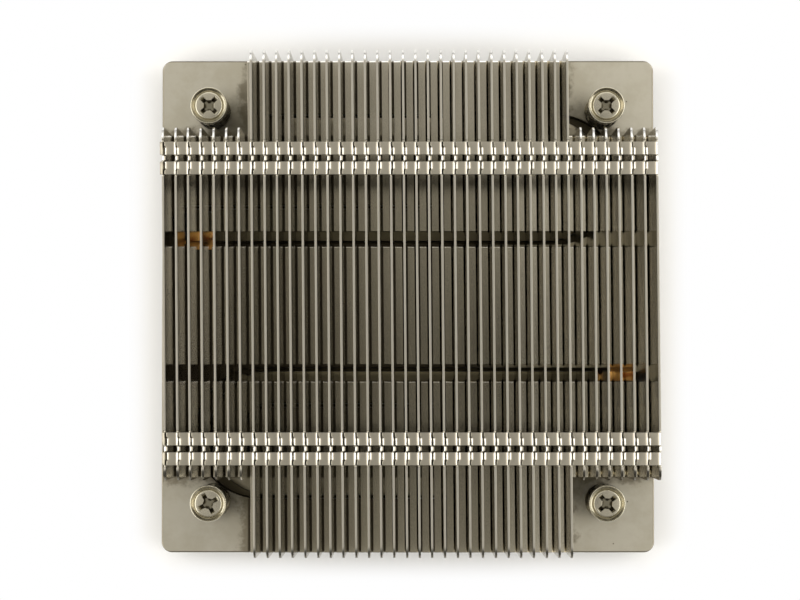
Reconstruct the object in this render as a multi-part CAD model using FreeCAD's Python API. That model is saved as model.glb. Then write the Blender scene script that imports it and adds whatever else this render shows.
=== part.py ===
import FreeCAD, Part
import math
import os

# Passive server CPU heatsink: a nickel-plated base plate with two flattened heat
# pipes let into its top, a stack of interlocked folded fins soldered over them,
# and four captive spring screws. Frame: origin at the middle of the plate's
# underside, +Z up through the fins, +X across the fins, +Y along them.
# All lengths are in millimetres.

Vec = FreeCAD.Vector
Z_AXIS = Vec(0, 0, 1)

# Base plate
plate_x = 95.0
plate_y = 95.0
plate_t = 4.5
plate_corner_r = 2.0
overall_height = 27.0

# Captive shoulder screws: a square pattern, to suit the socket frame's threads
screw_spacing_x = 75.0
screw_spacing_y = 75.0
screw_hole_clearance = 0.4
shoulder_r = 2.3
thread_r = 2.0
screw_tip_below_plate = 3.5
screw_head_r = 2.7
screw_head_h = 2.1
screw_flange_r = 3.45
screw_flange_t = 0.9
screw_head_top_above_plate = 16.0
recess_length = 4.1
recess_width = 0.85
recess_depth = 1.5
recess_turn_deg = (45.0, 44.0, 28.0, 40.0)

# Retaining ring in a groove between thread and shoulder, held in a counterbore
clip_t = 0.6
clip_outer_r = 3.6
clip_groove_r = 1.75
clip_mouth_deg = 90.0
clip_seat_clearance = 0.05
clip_plate_clearance = 0.05
counterbore_depth = 0.9
counterbore_clearance = 0.4

# Coil spring between the plate and the screw's flange, with closed ends
spring_wire = 0.8
spring_shoulder_clearance = 0.25
spring_active_turns = 4.0
spring_closed_turns = 0.75
spring_closed_gap = 0.05
spring_seat_gap = 0.05
spring_steps_per_turn = 8

# Fin stack
fin_count = 40
fin_pitch = 2.365
fin_t = 0.4
fin_end_to_screw = 1.05
fin_side_to_screw = 2.3
stack_shift_x = -0.3
fin_skew_deg = 0.5
fin_corner_bevel = 2.0
fin_neighbour_gap = 0.1

# Flange along the fin's foot, in three stretches with two gaps between them
foot_gap_inner_y = 11.5
foot_gap_width = 2.75

# Interlock near each end of the fin: a pair of tabs, each with a lip, and a finger
lock_inset = 5.9
lock_gap = 1.3
tab_width = 2.4
lip_drop = 1.2
finger_width = 1.0
finger_reach = 0.75
outer_fin_stub = 0.6

# Heat pipes, each a U laid in a milled pocket, the second turned half round
pipe_width = 6.4
pipe_t = 3.0
pipe_leg_y = -15.7
pipe_leg_spacing = 17.6
pipe_bend_inset = 21.2
pipe_end_inset = 3.3
pipe_short_end_inset = 21.5
pipe_nose_length = 7.0
pipe_neck_depth = 0.7
pipe_neck_length = 1.6
pocket_side_gap = 0.6
pocket_end_gap = 1.4
pocket_bend_shift_x = -2.2

# Derived levels and places
fin_top = overall_height
screw_top = plate_t + screw_head_top_above_plate
flange_top = screw_top - screw_head_h
flange_bottom = flange_top - screw_flange_t
screw_hole_r = shoulder_r + screw_hole_clearance
clip_top = counterbore_depth - clip_plate_clearance
clip_bottom = clip_top - clip_t
counterbore_r = clip_outer_r + counterbore_clearance
spring_coil_r = shoulder_r + spring_shoulder_clearance + 0.5 * spring_wire
long_fin_length = plate_y
short_fin_length = screw_spacing_y - 2.0 * (screw_flange_r + fin_end_to_screw)
long_fin_reach_x = 0.5 * screw_spacing_x - screw_flange_r - fin_side_to_screw
lock_centre_y = 0.5 * short_fin_length - lock_inset
foot_gap_outer_y = foot_gap_inner_y + foot_gap_width
stack_left = -0.5 * fin_count * fin_pitch + stack_shift_x
pipe_bend_r = 0.5 * pipe_leg_spacing
pipe_bend_y = pipe_leg_y - pipe_bend_r
pipe_bend_x = -0.5 * plate_x + pipe_bend_inset
pipe_end_x = 0.5 * plate_x - pipe_end_inset
pipe_short_end_x = 0.5 * plate_x - pipe_short_end_inset
pocket_width = pipe_width + 2.0 * pocket_side_gap
screw_places = [
    (-0.5 * screw_spacing_x, 0.5 * screw_spacing_y),
    (0.5 * screw_spacing_x, 0.5 * screw_spacing_y),
    (-0.5 * screw_spacing_x, -0.5 * screw_spacing_y),
    (0.5 * screw_spacing_x, -0.5 * screw_spacing_y),
]


def box(x0, x1, y0, y1, z0, z1):
    """A box between two opposite corners."""
    return Part.makeBox(x1 - x0, y1 - y0, z1 - z0, Vec(x0, y0, z0))


def prism(points, thickness):
    """A solid from a closed outline of points, pushed along a vector."""
    outline = Part.makePolygon(points + [points[0]])
    return Part.Face(outline).extrude(thickness)


def turned(profile):
    """A solid of revolution about Z from (radius, height) points."""
    points = [Vec(r, 0, z) for r, z in profile]
    outline = Part.makePolygon(points + [points[0]])
    return Part.Face(outline).revolve(Vec(0, 0, 0), Z_AXIS, 360)


def arc(centre_x, centre_y, radius, start_deg, middle_deg, end_deg, z):
    """A round stretch of an outline, through three directions from its centre."""
    places = []
    for angle in (start_deg, middle_deg, end_deg):
        turn = math.radians(angle)
        x = centre_x + radius * math.cos(turn)
        y = centre_y + radius * math.sin(turn)
        places.append(Vec(x, y, z))
    return Part.Arc(*places).toShape()


def line(x0, y0, x1, y1, z):
    """A straight stretch of an outline at one height."""
    return Part.LineSegment(Vec(x0, y0, z), Vec(x1, y1, z)).toShape()


def round_ended_block(bend_x, half_width, right_x, z, height):
    """A block round the pipe's bend line, half round at its left end."""
    top = pipe_bend_y + half_width
    bottom = pipe_bend_y - half_width
    edges = [
        arc(bend_x, pipe_bend_y, half_width, 90, 180, 270, z),
        line(bend_x, bottom, right_x, bottom, z),
        line(right_x, bottom, right_x, top, z),
        line(right_x, top, bend_x, top, z),
    ]
    return Part.Face(Part.Wire(edges)).extrude(Vec(0, 0, height))


def half_turn(shape):
    """A copy turned 180 degrees about the plate's middle."""
    copy = shape.copy()
    copy.rotate(Vec(0, 0, 0), Z_AXIS, 180)
    return copy


def pocket():
    """The U-shaped pocket milled for one heat pipe."""
    floor = plate_t - pipe_t
    half = 0.5 * pocket_width
    short_end_x = pipe_short_end_x + pocket_end_gap
    nose_x = pipe_end_x + pocket_end_gap - half
    wide_bend_x = pipe_bend_x + pocket_bend_shift_x
    outside = round_ended_block(wide_bend_x, pipe_bend_r + half, short_end_x, floor, pipe_t)
    island = round_ended_block(pipe_bend_x, pipe_bend_r - half, short_end_x, floor, pipe_t)
    leg = box(short_end_x, nose_x, pipe_leg_y - half, pipe_leg_y + half, floor, plate_t)
    nose = Part.makeCylinder(half, pipe_t, Vec(nose_x, pipe_leg_y, floor))
    return outside.cut(island).fuse([leg, nose]).removeSplitter()


def base_plate():
    """The plate with its pipe pockets and the four stepped screw holes."""
    plate = box(-0.5 * plate_x, 0.5 * plate_x, -0.5 * plate_y, 0.5 * plate_y, 0, plate_t)
    upright = [e for e in plate.Edges if abs(e.Vertexes[0].Z - e.Vertexes[1].Z) > 0.5 * plate_t]
    plate = plate.makeFillet(plate_corner_r, upright)
    one_pocket = pocket()
    cuts = [one_pocket, half_turn(one_pocket)]
    for x, y in screw_places:
        cuts.append(Part.makeCylinder(screw_hole_r, plate_t, Vec(x, y, 0)))
        cuts.append(Part.makeCylinder(counterbore_r, counterbore_depth, Vec(x, y, 0)))
    return plate.cut(cuts)


def heat_pipe():
    """A flattened U of pipe: a long leg with a necked nose, a bend, a short leg."""
    floor = plate_t - pipe_t
    half = 0.5 * pipe_width
    low_y = pipe_leg_y - pipe_leg_spacing
    top = pipe_leg_y + half
    foot = pipe_leg_y - half
    neck_start = pipe_end_x - pipe_nose_length
    neck_middle = neck_start + 0.5 * pipe_neck_length
    neck_end = neck_start + pipe_neck_length
    nose_x = pipe_end_x - half
    tail_x = pipe_short_end_x - half
    edges = [
        arc(pipe_bend_x, pipe_bend_y, pipe_bend_r + half, 90, 180, 270, floor),
        line(pipe_bend_x, low_y - half, tail_x, low_y - half, floor),
        arc(tail_x, low_y, half, -90, 0, 90, floor),
        line(tail_x, low_y + half, pipe_bend_x, low_y + half, floor),
        arc(pipe_bend_x, pipe_bend_y, pipe_bend_r - half, 270, 180, 90, floor),
        line(pipe_bend_x, foot, neck_start, foot, floor),
        line(neck_start, foot, neck_middle, foot + pipe_neck_depth, floor),
        line(neck_middle, foot + pipe_neck_depth, neck_end, foot, floor),
        line(neck_end, foot, nose_x, foot, floor),
        arc(nose_x, pipe_leg_y, half, -90, 0, 90, floor),
        line(nose_x, top, neck_end, top, floor),
        line(neck_end, top, neck_middle, top - pipe_neck_depth, floor),
        line(neck_middle, top - pipe_neck_depth, neck_start, top, floor),
        line(neck_start, top, pipe_bend_x, top, floor),
    ]
    return Part.Face(Part.Wire(edges)).extrude(Vec(0, 0, pipe_t))


def fin_web(length):
    """The upright sheet of one fin, right face at x = 0, top corners bevelled."""
    half = 0.5 * length
    points = [
        Vec(-fin_t, -half, plate_t),
        Vec(-fin_t, half, plate_t),
        Vec(-fin_t, half, fin_top - fin_corner_bevel),
        Vec(-fin_t, half - fin_corner_bevel, fin_top),
        Vec(-fin_t, -half + fin_corner_bevel, fin_top),
        Vec(-fin_t, -half, fin_top - fin_corner_bevel),
    ]
    return prism(points, Vec(fin_t, 0, 0))


def fin_foot(length):
    """The three stretches of flange that lie on the plate, reaching to -X."""
    half = 0.5 * length
    far_x = fin_neighbour_gap - fin_pitch
    stretches = [
        (-half, -foot_gap_outer_y),
        (-foot_gap_inner_y, foot_gap_inner_y),
        (foot_gap_outer_y, half),
    ]
    top = plate_t + fin_t
    return [box(far_x, -fin_t, y0, y1, plate_t, top) for y0, y1 in stretches]


def fin_tabs(reach, with_lips):
    """Two pairs of tabs folded from the fin's top towards -X."""
    pieces = []
    for side in (-1, 1):
        for half_pair in (-1, 1):
            near = lock_centre_y + half_pair * 0.5 * lock_gap
            far = near + half_pair * tab_width
            y0, y1 = sorted((side * near, side * far))
            end_x = -fin_t - reach
            under = fin_top - fin_t
            pieces.append(box(end_x, -fin_t, y0, y1, under, fin_top))
            if with_lips:
                pieces.append(box(end_x, end_x + fin_t, y0, y1, under - lip_drop, under))
    return pieces


def fin_fingers():
    """A short finger in the middle of each interlock, folded towards +X."""
    pieces = []
    for side in (-1, 1):
        middle = side * lock_centre_y
        y0 = middle - 0.5 * finger_width
        y1 = middle + 0.5 * finger_width
        pieces.append(box(0, finger_reach, y0, y1, fin_top - fin_t, fin_top))
    return pieces


def fin(index):
    """One folded fin at its place in the stack, short where it passes a screw."""
    foot_x = stack_left + index * fin_pitch
    outer = foot_x < -long_fin_reach_x or foot_x + fin_pitch > long_fin_reach_x
    length = short_fin_length if outer else long_fin_length
    first = index == 0
    last = index == fin_count - 1
    full_reach = fin_pitch - fin_t - fin_neighbour_gap
    pieces = fin_foot(length)
    pieces += fin_tabs(outer_fin_stub if first else full_reach, not first)
    if not last:
        pieces += fin_fingers()
    sheet = fin_web(length).fuse(pieces).removeSplitter()
    sheet.rotate(Vec(-0.5 * fin_t, 0, 0), Z_AXIS, fin_skew_deg)
    sheet.translate(Vec(foot_x + fin_pitch, 0, 0))
    return sheet


def recess(turn_deg):
    """The cross-shaped driver recess in the screw's head."""
    half = 0.5 * recess_length
    side = 0.5 * recess_width
    floor = screw_top - recess_depth
    cross = box(-half, half, -side, side, floor, screw_top)
    cross = cross.fuse(box(-side, side, -half, half, floor, screw_top))
    cross.rotate(Vec(0, 0, 0), Z_AXIS, turn_deg)
    return cross


def screw(turn_deg):
    """A turned shoulder screw with a washer flange under its head."""
    body = turned([
        (0, -screw_tip_below_plate),
        (thread_r, -screw_tip_below_plate),
        (thread_r, clip_bottom),
        (clip_groove_r, clip_bottom),
        (clip_groove_r, clip_top),
        (shoulder_r, clip_top),
        (shoulder_r, flange_bottom),
        (screw_flange_r, flange_bottom),
        (screw_flange_r, flange_top),
        (screw_head_r, flange_top),
        (screw_head_r, screw_top),
        (0, screw_top),
    ])
    return body.cut(recess(turn_deg))


def retaining_clip():
    """An open ring in the screw's groove, its top against the shoulder."""
    low = clip_bottom
    ring = Part.makeCylinder(clip_outer_r, clip_t, Vec(0, 0, low))
    half = math.radians(0.5 * clip_mouth_deg)
    reach = 2.0 * clip_outer_r
    mouth = prism(
        [
            Vec(0, 0, low),
            Vec(reach * math.cos(half), -reach * math.sin(half), low),
            Vec(reach * math.cos(half), reach * math.sin(half), low),
        ],
        Vec(0, 0, clip_t),
    )
    bore = Part.makeCylinder(clip_groove_r + clip_seat_clearance, clip_t, Vec(0, 0, low))
    return ring.cut([bore, mouth])


def spring_rise(turns, total_rise):
    """The wire's rise after some turns: nearly flat in the closed turns."""
    closed_pitch = spring_wire + spring_closed_gap
    closed_rise = spring_closed_turns * closed_pitch
    if turns <= spring_closed_turns:
        return turns * closed_pitch
    active = turns - spring_closed_turns
    if active <= spring_active_turns:
        return closed_rise + (total_rise - 2.0 * closed_rise) * active / spring_active_turns
    return total_rise - closed_rise + (active - spring_active_turns) * closed_pitch


def panel(*corners):
    """A flat face between corner points."""
    return Part.Face(Part.makePolygon(list(corners) + [corners[0]]))


def coil_spring():
    """A closed-ended coil, wound from square wire in short straight steps."""
    half = 0.5 * spring_wire
    low = plate_t + spring_seat_gap + half
    rise = flange_bottom - spring_seat_gap - half - low
    steps = round((spring_active_turns + 2.0 * spring_closed_turns) * spring_steps_per_turn)
    sections = []
    for step in range(steps + 1):
        turns = step / spring_steps_per_turn
        angle = 2.0 * math.pi * turns
        across = Vec(math.cos(angle), math.sin(angle), 0)
        centre = across * spring_coil_r + Vec(0, 0, low + spring_rise(turns, rise))
        inner = centre - across * half
        outer = centre + across * half
        up = Z_AXIS * half
        sections.append((inner - up, outer - up, outer + up, inner + up))
    faces = [panel(*sections[0]), panel(*sections[-1])]
    for here, there in zip(sections, sections[1:]):
        faces.append(panel(here[1], there[1], there[2], here[2]))
        faces.append(panel(here[0], there[0], there[3], here[3]))
        for near, far in ((0, 1), (3, 2)):
            faces.append(panel(here[near], here[far], there[far]))
            faces.append(panel(here[near], there[far], there[near]))
    shell = Part.makeShell(faces)
    shell.sewShape()
    return Part.makeSolid(shell)


def placed(shape, place):
    """A copy of a shape moved to a screw's place on the plate."""
    copy = shape.copy()
    copy.translate(Vec(place[0], place[1], 0))
    return copy


def build():
    """All the pieces of the heatsink, by name."""
    parts = {"base_plate": base_plate()}
    front_pipe = heat_pipe()
    parts["heat_pipe_front"] = front_pipe
    parts["heat_pipe_rear"] = half_turn(front_pipe)
    for index in range(fin_count):
        parts["fin_%02d" % (index + 1)] = fin(index)
    clip = retaining_clip()
    spring = coil_spring()
    for number, place in enumerate(screw_places):
        name = "%d" % (number + 1)
        parts["screw_" + name] = placed(screw(recess_turn_deg[number]), place)
        parts["clip_" + name] = placed(clip, place)
        parts["spring_" + name] = placed(spring, place)
    return parts


os.makedirs("parts", exist_ok=True)
for node, solid in build().items():
    solid.exportStep(os.path.join("parts", node + ".step"))
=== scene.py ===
import logging
import math
from collections.abc import Callable, Iterator, Sequence
from contextlib import contextmanager
from dataclasses import dataclass, field
from enum import Enum

import bmesh
import bpy
from bpy.types import Material, Node, NodeOutputs, NodeSocket, NodeTree, Object, World
from mathutils import Matrix, Vector


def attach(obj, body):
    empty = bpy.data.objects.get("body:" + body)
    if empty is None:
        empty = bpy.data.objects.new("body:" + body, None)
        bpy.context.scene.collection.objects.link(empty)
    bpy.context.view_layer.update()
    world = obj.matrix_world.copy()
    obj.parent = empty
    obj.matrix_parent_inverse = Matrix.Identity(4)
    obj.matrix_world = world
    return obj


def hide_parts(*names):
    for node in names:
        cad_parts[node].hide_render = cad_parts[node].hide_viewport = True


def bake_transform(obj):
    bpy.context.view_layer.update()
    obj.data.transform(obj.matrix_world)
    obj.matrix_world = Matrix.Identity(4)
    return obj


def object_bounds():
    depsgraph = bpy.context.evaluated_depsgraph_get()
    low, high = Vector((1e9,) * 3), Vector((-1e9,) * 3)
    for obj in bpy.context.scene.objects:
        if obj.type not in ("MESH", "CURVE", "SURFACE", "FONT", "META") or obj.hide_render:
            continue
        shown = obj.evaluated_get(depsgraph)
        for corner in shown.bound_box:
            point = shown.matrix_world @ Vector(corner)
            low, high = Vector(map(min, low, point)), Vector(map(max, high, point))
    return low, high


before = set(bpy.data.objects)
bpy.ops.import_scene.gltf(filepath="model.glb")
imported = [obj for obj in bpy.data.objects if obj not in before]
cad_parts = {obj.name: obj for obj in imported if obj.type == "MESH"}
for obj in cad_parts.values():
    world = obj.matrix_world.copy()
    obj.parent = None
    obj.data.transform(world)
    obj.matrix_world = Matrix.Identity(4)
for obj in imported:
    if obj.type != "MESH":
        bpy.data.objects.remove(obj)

# Looks of a passive server CPU heatsink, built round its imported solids. Lengths
# are in metres, in the same frame: origin in the middle of the plate's underside,
# +Z up through the fins, +Y along them.

LOG = logging.getLogger("heatsink")
MM = 0.001
DEG = math.pi / 180.0
ROOT_BODY = "heatsink"
# Face attribute that marks where the fins get painted highlights.
PAINTED_HIGHLIGHT_MARK = "painted_highlight"
CAD_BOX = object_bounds()
# How far each screw is from the part's middle, in X and in Y.
SCREW_REACH = 37.5 * MM
# How near counts as the same place, how near points are merged, and how much of an
# edge's direction has to be along an axis.
CLOSE = 0.01 * MM
SAME = 0.001 * MM
ALONG = 0.9
# The levels between which a noise pattern mostly keeps.
NOISE_SPAN = (0.3, 0.7)

Span = tuple[float, float]
Place = Vector | tuple[float, float, float]
Test = Callable[[Vector, Vector], bool]
Source = Node | NodeSocket
Paint = str | Source


class Element(Enum):
    """What an edit-mode selection is made of."""

    POINT = "VERT"
    EDGE = "EDGE"
    FACE = "FACE"


class FinForm(Enum):
    """The four ways a fin is cut and folded, by its place in the stack."""

    FIRST = "first"
    SHORT = "short"
    LONG = "long"
    LAST = "last"


# Modelling helpers


def take_alone(obj: Object) -> None:
    """Select one object, and nothing else, and make it the active one."""
    bpy.ops.object.select_all(action="DESELECT")
    obj.select_set(True)
    bpy.context.view_layer.objects.active = obj


def settle(obj: Object) -> None:
    """Put an object's place, turn and scale into its mesh."""
    take_alone(obj)
    bpy.ops.object.transform_apply(location=True, rotation=True, scale=True)


@contextmanager
def edit_mode(obj: Object) -> Iterator[None]:
    """Open an object in edit mode with nothing selected, and leave it afterwards.

    Args:
        obj: the mesh object to work on.
    """
    take_alone(obj)
    bpy.ops.object.mode_set(mode="EDIT")
    bpy.ops.mesh.select_mode(type="VERT")
    bpy.ops.mesh.select_all(action="DESELECT")
    yield
    bpy.ops.object.mode_set(mode="OBJECT")


def pick(obj: Object, element: Element, test: Test, within: bool = False) -> int:
    """Select elements by their place, in edit mode.

    Args:
        obj: the object that is open in edit mode.
        element: what to select.
        test: says yes or no to an element's middle and its normal, or for an
            edge its middle and its direction.
        within: choose only among what is already selected.

    Returns:
        How many elements are selected.
    """
    bpy.ops.mesh.select_mode(type=element.value)
    mesh = bmesh.from_edit_mesh(obj.data)
    items = {Element.POINT: mesh.verts, Element.EDGE: mesh.edges, Element.FACE: mesh.faces}[element]
    chosen = []
    for item in items:
        if element is Element.POINT:
            middle, way = item.co, item.normal
        elif element is Element.EDGE:
            middle = 0.5 * (item.verts[0].co + item.verts[1].co)
            way = (item.verts[1].co - item.verts[0].co).normalized()
        else:
            middle, way = item.calc_center_median(), item.normal
        if (item.select or not within) and test(middle, way):
            chosen.append(item)
    bpy.ops.mesh.select_all(action="DESELECT")
    for item in chosen:
        item.select_set(True)
    mesh.select_flush_mode()
    bmesh.update_edit_mesh(obj.data)
    return len(chosen)


def pick_along_y(obj: Object, test: Callable[[Vector], bool]) -> int:
    """Select the edges that run along Y and whose middle passes a test, in edit mode."""
    return pick(obj, Element.EDGE, lambda middle, way: abs(way.y) > ALONG and test(middle))


def pick_sharp(obj: Object, angle_deg: float, test: Test) -> int:
    """Select the sharp edges that pass a test, in edit mode."""
    bpy.ops.mesh.select_all(action="DESELECT")
    bpy.ops.mesh.select_mode(type="EDGE")
    bpy.ops.mesh.edges_select_sharp(sharpness=angle_deg * DEG)
    return pick(obj, Element.EDGE, test, within=True)


def select_all() -> None:
    """Select the whole mesh that is open in edit mode."""
    bpy.ops.mesh.select_all(action="SELECT")


def merge_all() -> None:
    """Merge the points that meet in the whole open mesh."""
    select_all()
    bpy.ops.mesh.remove_doubles(threshold=SAME)


def face_outwards() -> None:
    """Turn all normals of the open mesh outwards."""
    select_all()
    bpy.ops.mesh.normals_make_consistent(inside=False)


def move(step: Place) -> None:
    """Move what is selected in edit mode."""
    bpy.ops.transform.translate(value=step)


def grow(factors: Place, centre: Place) -> None:
    """Scale what is selected in edit mode about a point."""
    bpy.ops.transform.resize(value=factors, center_override=centre)


def extrude(step: Place) -> None:
    """Extrude the selected faces or rings and move the new end."""
    bpy.ops.mesh.extrude_region_move(TRANSFORM_OT_translate={"value": step})


def slice_along_y(stations: Sequence[float]) -> None:
    """Cut new edges through the open mesh at several places along Y."""
    for y in stations:
        select_all()
        bpy.ops.mesh.bisect(plane_co=(0, y, 0), plane_no=(0, 1, 0))


def finish_with(obj: Object, kind: str, **settings: object) -> None:
    """Add a modifier to an object and apply it.

    Args:
        obj: the object that gets it.
        kind: the modifier's type.
        settings: its properties.
    """
    take_alone(obj)
    modifier = obj.modifiers.new(kind.title(), kind)
    for name, value in settings.items():
        setattr(modifier, name, value)
    bpy.ops.object.modifier_apply(modifier=modifier.name)


def smooth(obj: Object, angle_deg: float = 35.0) -> None:
    """Shade an object smooth, apart from sharper edges, with its large faces kept flat."""
    take_alone(obj)
    bpy.ops.object.shade_smooth_by_angle(angle=angle_deg * DEG)
    finish_with(obj, "WEIGHTED_NORMAL", keep_sharp=True, weight=100)


def turned(name: str, profile: Sequence[Span], steps: int) -> Object:
    """Turn a solid about Z, from one point extruded along a profile and spun.

    Args:
        name: the new object's name.
        profile: (radius, height) points from the foot of the axis to its top.
        steps: how many steps make a full turn.

    Returns:
        The closed, turned object, with its normals outwards.
    """
    bpy.ops.mesh.primitive_plane_add(size=MM)
    obj = bpy.context.object
    obj.name = name
    with edit_mode(obj):
        select_all()
        bpy.ops.mesh.merge(type="CENTER")
        move((profile[0][0], 0, profile[0][1]))
        for here, there in zip(profile, profile[1:]):
            step = (there[0] - here[0], 0, there[1] - here[1])
            bpy.ops.mesh.extrude_vertices_move(TRANSFORM_OT_translate={"value": step})
        select_all()
        bpy.ops.mesh.spin(steps=steps, angle=2 * math.pi, center=(0, 0, 0), axis=(0, 0, 1))
        merge_all()
        face_outwards()
    return obj


def node_copy(node: str, name: str) -> Object:
    """Copy a CAD node's mesh and merge its loose triangles into plain faces.

    Args:
        node: the CAD node to copy.
        name: the new object's name.

    Returns:
        The copy, ready to be modelled further.
    """
    obj = bpy.data.objects.new(name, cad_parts[node].data.copy())
    bpy.context.scene.collection.objects.link(obj)
    obj.data.materials.clear()
    with edit_mode(obj):
        merge_all()
        bpy.ops.mesh.dissolve_limited(angle_limit=0.5 * DEG)
    return obj


def own_copy(obj: Object, name: str, place: Matrix) -> Object:
    """Copy a finished object, with a mesh of its own that is put in its place."""
    take_alone(obj)
    bpy.ops.object.duplicate(linked=False)
    copy = bpy.context.object
    copy.name = name
    copy.data.transform(place)
    return copy


def remove(obj: Object) -> None:
    """Delete a pattern object once it has been copied."""
    take_alone(obj)
    bpy.ops.object.delete()


# Finish helpers


def linear(code: str) -> tuple[float, float, float, float]:
    """Turn an sRGB hex colour into the linear values that a shader takes."""
    values = []
    for place in (1, 3, 5):
        share = int(code[place:place + 2], 16) / 255.0
        values.append(share / 12.92 if share <= 0.04045 else ((share + 0.055) / 1.055) ** 2.4)
    return (values[0], values[1], values[2], 1.0)


def per_size(size: float) -> float:
    """The scale of a pattern whose grain has this size in metres."""
    return 1.0 / size


def empty_tree(owner: Material | World) -> NodeTree:
    """Give a material or a world an empty node tree, and return the tree."""
    owner.use_nodes = True
    owner.node_tree.nodes.clear()
    return owner.node_tree


def add_node(
    tree: NodeTree, kind: str, inputs: dict[int | str, object] | None = None, **settings: object
) -> Node:
    """Add a shader node with its settings and links.

    Args:
        tree: the node tree.
        kind: the node's type, without its ShaderNode.
        inputs: for each input's name or number, a value, an output, or a node whose
            first output in use is linked.
        settings: the node's own properties.

    Returns:
        The new node.
    """
    node = tree.nodes.new("ShaderNode" + kind)
    for name, value in settings.items():
        setattr(node, name, value)
    for key, value in (inputs or {}).items():
        if isinstance(value, Node):
            value = next(output for output in value.outputs if output.enabled)
        if isinstance(value, NodeSocket):
            tree.links.new(value, node.inputs[key])
        else:
            node.inputs[key].default_value = value
    return node


def distance(tree: NodeTree, value: Source, middle: float = 0.0) -> Node:
    """How far a value is from a middle, either way."""
    off = add_node(tree, "Math", {0: value, 1: middle}, operation="SUBTRACT")
    return add_node(tree, "Math", {0: off}, operation="ABSOLUTE")


def stretch(tree: NodeTree, value: Source, span: Span, onto: Span) -> Node:
    """Carry a value from one span over onto another, and stop at its ends."""
    return add_node(tree, "MapRange", {
        "Value": value, "From Min": span[0], "From Max": span[1], "To Min": onto[0], "To Max": onto[1]})


def share_of(tree: NodeTree, *limits: tuple[Source, float, float]) -> Node:
    """How far a place keeps to several limits, from 0 to 1.

    Args:
        tree: the node tree.
        limits: for each, a value, where it counts 0 and where it counts 1.

    Returns:
        The product of the smooth steps between the two.
    """
    share = None
    for value, start, end in limits:
        step = add_node(tree, "MapRange", {"Value": value, "From Min": start, "From Max": end},
                        interpolation_type="SMOOTHSTEP")
        share = step if share is None else add_node(tree, "Math", {0: share, 1: step}, operation="MULTIPLY")
    return share


def paint(tree: NodeTree, colour: Paint, *layers: tuple[Source, Paint]) -> Node:
    """Lay colours over a first one, in order.

    Args:
        tree: the node tree.
        colour: the first colour, as a hex code or a node.
        layers: for each, how far it covers, and its colour.

    Returns:
        The node that gives the last mix.
    """
    for share, over in layers:
        below, above = (linear(tone) if isinstance(tone, str) else tone for tone in (colour, over))
        colour = add_node(tree, "Mix", {0: share, 6: below, 7: above}, data_type="RGBA")
    return colour


def seen_share(tree: NodeTree) -> Node:
    """1 for the rays that show the background itself, and 0 for those that only light the part."""
    rays = add_node(tree, "LightPath").outputs
    seen = add_node(tree, "Math", {0: rays["Is Camera Ray"], 1: rays["Is Glossy Ray"]}, operation="MAXIMUM")
    return add_node(tree, "Math", {0: seen, 1: rays["Is Transmission Ray"]}, operation="MAXIMUM")


# Finishes


@dataclass(frozen=True)
class MetalFinish:
    """A metal surface with cloudy tone, fine grain and small specks."""

    name: str
    colour: str
    cloud_colour: str
    roughness: float
    roughness_spread: float
    cloud_size: float = 6.0 * MM
    cloud_span: Span = (0.35, 0.7)
    grain_size: float = 0.12 * MM
    grain_depth: float = 0.004 * MM
    speck_colour: str = "#4A4234"
    speck_size: float = 0.9 * MM
    speck_share: float = 0.0
    speck_edge: Span = (0.24, 0.10)
    cloud_stretch: tuple[float, float, float] = (1.0, 1.0, 1.0)

    def build(self) -> Material:
        """Build the material.

        Returns:
            The node material, which reads object coordinates.
        """
        material = bpy.data.materials.new(self.name)
        tree = empty_tree(material)
        where = add_node(tree, "TexCoord").outputs["Object"]
        drawn = add_node(tree, "VectorMath", {0: where, 1: self.cloud_stretch}, operation="MULTIPLY")
        cloud = add_node(tree, "TexNoise", {
            "Vector": drawn, "Scale": per_size(self.cloud_size), "Detail": 4.0, "Roughness": 0.6})
        grain = add_node(tree, "TexNoise", {
            "Vector": where, "Scale": per_size(self.grain_size), "Detail": 2.0})
        tone = paint(tree, self.colour, (share_of(tree, (cloud, *self.cloud_span)), self.cloud_colour))
        colour = self.tint(tree, where, self.speckle(tree, where, tone))
        spread = self.roughness_spread
        rough = stretch(tree, cloud, NOISE_SPAN, (self.roughness - spread, self.roughness + spread))
        rough = self.roughen(tree, where, rough)
        bump = add_node(tree, "Bump", {"Height": grain, "Distance": self.grain_depth, "Strength": 1.0})
        shader = add_node(tree, "BsdfPrincipled", {
            "Base Color": colour, "Metallic": 1.0, "Roughness": rough, "Normal": bump})
        add_node(tree, "OutputMaterial", {"Surface": shader})
        return material

    def speckle(self, tree: NodeTree, where: Source, colour: Source) -> Source:
        """Scatter small dark specks over a colour."""
        if not self.speck_share:
            return colour
        cells = add_node(tree, "TexVoronoi", {
            "Vector": where, "Scale": per_size(self.speck_size), "Randomness": 1.0})
        near = share_of(tree, (cells, *self.speck_edge))
        kept = add_node(tree, "Math", {0: cells.outputs["Color"], 1: self.speck_share}, operation="LESS_THAN")
        both = add_node(tree, "Math", {0: near, 1: kept}, operation="MULTIPLY")
        return paint(tree, colour, (both, self.speck_colour))

    def tint(self, tree: NodeTree, where: Source, colour: Source) -> Source:
        """Lay on the colour that belongs to a place on the part: none on a plain finish.

        Args:
            tree: the node tree.
            where: object coordinates.
            colour: the surface's own colour.

        Returns:
            The colour by place.
        """
        return colour

    def roughen(self, tree: NodeTree, where: Source, rough: Source) -> Source:
        """Change the roughness by the place on the part, in the same way."""
        return rough


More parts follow.
